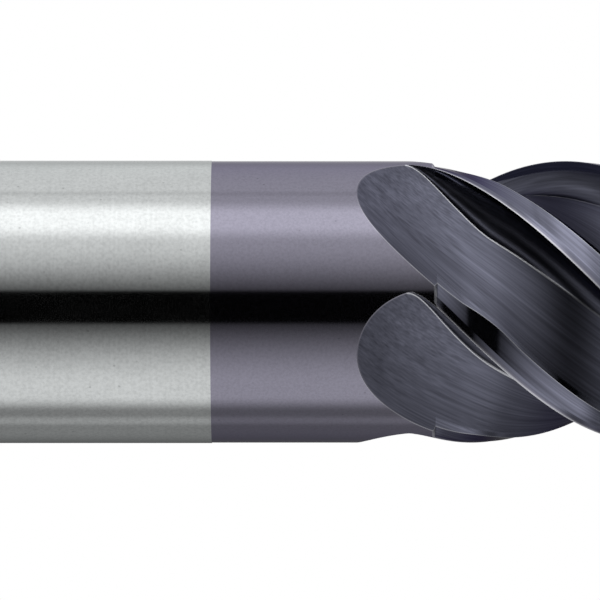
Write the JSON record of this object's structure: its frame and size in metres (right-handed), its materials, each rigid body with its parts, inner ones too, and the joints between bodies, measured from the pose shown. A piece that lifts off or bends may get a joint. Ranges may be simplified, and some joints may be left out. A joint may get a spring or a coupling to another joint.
{
  "type": "square end mill",
  "caption": "Solid carbide square end mill with a plain round shank, steep helical flutes with run-outs, relieved teeth and gashed end teeth.",
  "frame": {"origin": "centre of the shank's flat end face, on the tool's axis", "axes": "+Z along the tool's axis, from the shank to the cutting end; the picture's view looks along +Y with +Z to the right"},
  "size_m": [0.012, 0.012, 0.083],
  "materials": {
    "end_mill": "ground cemented carbide: bare and bright on the shank, with a dark violet-grey hard coating from the neck to the teeth"
  },
  "bodies": {
    "root": {"end_mill": "end_mill"}
  },
  "joints": []
}
